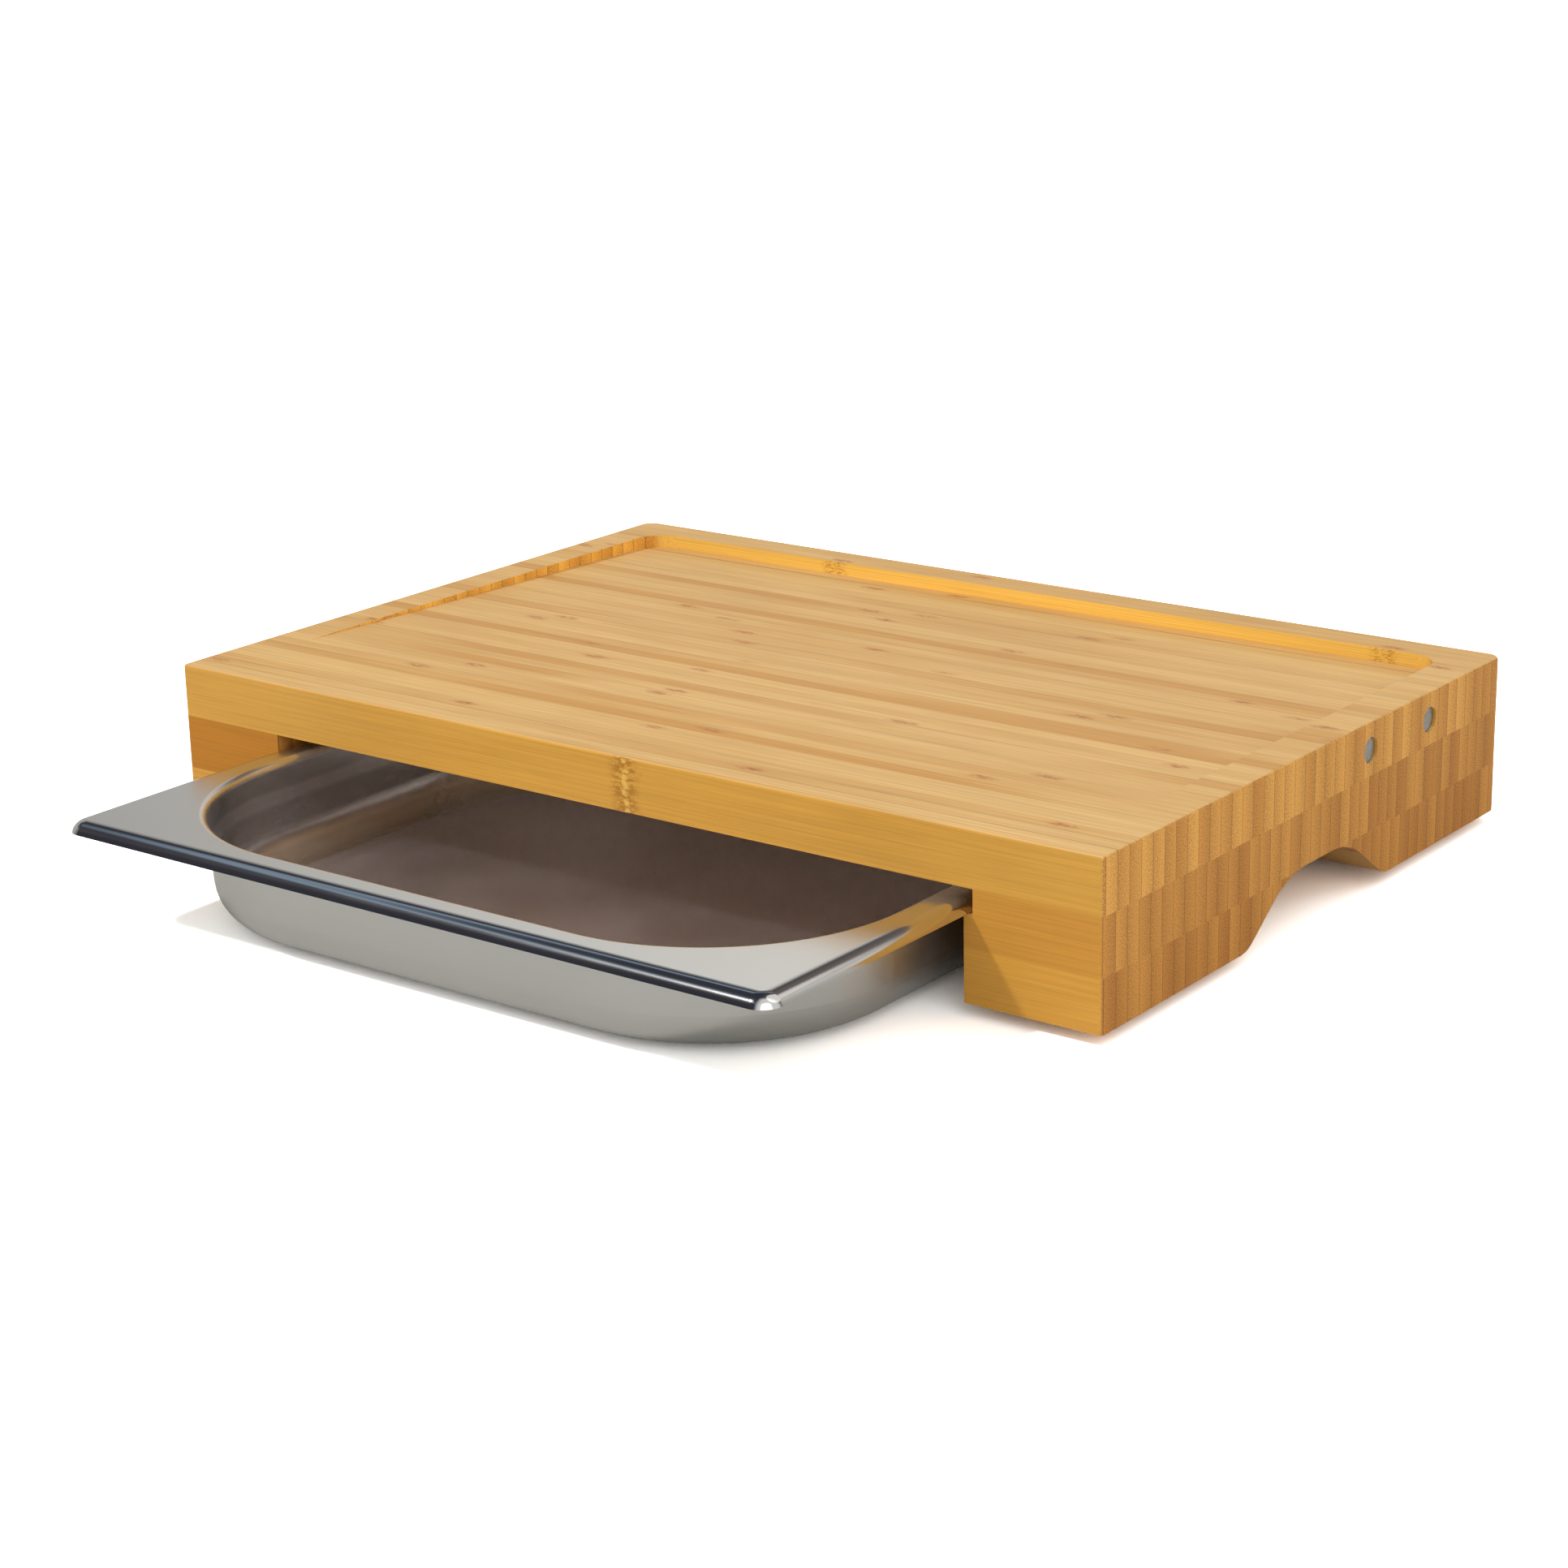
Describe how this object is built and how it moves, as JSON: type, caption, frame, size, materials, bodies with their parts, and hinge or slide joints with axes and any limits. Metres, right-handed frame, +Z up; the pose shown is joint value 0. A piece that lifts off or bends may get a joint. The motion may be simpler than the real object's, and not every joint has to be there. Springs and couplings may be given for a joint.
{
  "type": "cutting board with a pull-out tray",
  "caption": "Laminated bamboo cutting board on low feet, with a wedge-shaped recess, finger grips in both ends and a pressed steel tray that slides in grooves under the panel.",
  "frame": {"origin": "on the worktop under the feet, in the middle of the footprint of the board with its tray drawn out as stored", "axes": "+X along the board's long side towards the end with the magnets, +Y from the open front to the closed back, +Z up"},
  "size_m": [0.43, 0.406, 0.0675],
  "materials": {
    "bamboo": "oiled, satin",
    "stainless_steel": "bright pressed sheet",
    "magnet_metal": "nickel plated",
    "foot_rubber": "matte",
    "screw_steel": "zinc plated"
  },
  "bodies": {
    "board": {"top_panel": "bamboo", "left_rail": "bamboo", "right_rail": "bamboo", "back_rail": "bamboo", "front_left_leg": "bamboo", "front_right_leg": "bamboo", "rear_left_leg": "bamboo", "rear_right_leg": "bamboo", "back_sill": "bamboo", "front_magnet": "magnet_metal", "rear_magnet": "magnet_metal", "front_left_foot": "foot_rubber", "front_right_foot": "foot_rubber", "rear_left_foot": "foot_rubber", "rear_right_foot": "foot_rubber", "front_left_foot_screw": "screw_steel", "front_right_foot_screw": "screw_steel", "rear_left_foot_screw": "screw_steel", "rear_right_foot_screw": "screw_steel"},
    "tray": {"tray": "stainless_steel"}
  },
  "joints": [
    {"name": "tray_slide", "type": "slide", "parent": "board", "child": "tray", "axis": [0, -1, 0], "range_m": [-0.112, 0.155]}
  ]
}
